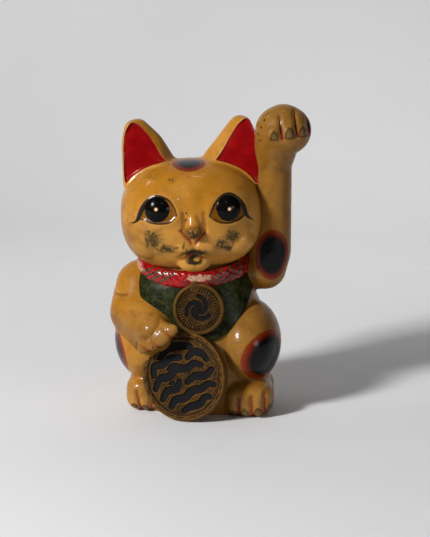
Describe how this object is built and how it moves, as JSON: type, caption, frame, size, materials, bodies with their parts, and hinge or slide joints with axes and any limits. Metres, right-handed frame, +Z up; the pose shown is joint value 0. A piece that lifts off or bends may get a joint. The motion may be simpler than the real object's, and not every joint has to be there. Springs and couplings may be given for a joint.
{
  "type": "beckoning cat figurine",
  "caption": "Seated hollow cat figurine with one raised paw, collar, bib, medallion and an upright oval coin; slotted back and a pull-out base stopper make it a money box.",
  "frame": {"origin": "on the underside of the base board, under the middle of the torso", "axes": "+Z up, the figure faces -Y, +X is towards its raised arm"},
  "size_m": [0.1674, 0.1314, 0.2539],
  "materials": {
    "body_lacquer": "painted wood composition under aged amber lacquer",
    "eye_glass": "glossy black domed eye",
    "collar_paint": "worn red paint with dark stripes",
    "bib_paint": "mottled dark green lacquer",
    "antique_gold": "antiqued bronze-gold paint with matte black ornament",
    "bare_wood": "bare wood",
    "cork": "pressed cork"
  },
  "bodies": {
    "figure": {"torso_front_shell": "body_lacquer", "torso_back_shell": "body_lacquer", "base_board": "bare_wood", "tail": "body_lacquer", "left_haunch": "body_lacquer", "right_haunch": "body_lacquer", "left_foot": "body_lacquer", "right_foot": "body_lacquer", "resting_arm": "body_lacquer", "resting_arm_peg": "bare_wood", "raised_arm": "body_lacquer", "raised_arm_peg": "bare_wood", "head_front_shell": "body_lacquer", "head_back_shell": "body_lacquer", "neck_peg": "bare_wood", "left_ear": "body_lacquer", "right_ear": "body_lacquer", "left_eye": "eye_glass", "right_eye": "eye_glass", "collar": "collar_paint", "bib": "bib_paint", "medallion": "antique_gold", "medallion_button": "antique_gold", "koban_coin": "antique_gold"},
    "stopper": {"stopper": "cork"}
  },
  "joints": [
    {"name": "stopper_pull", "type": "slide", "parent": "figure", "child": "stopper", "axis": [0, 0, -1], "range_m": [0, 0.03]}
  ]
}
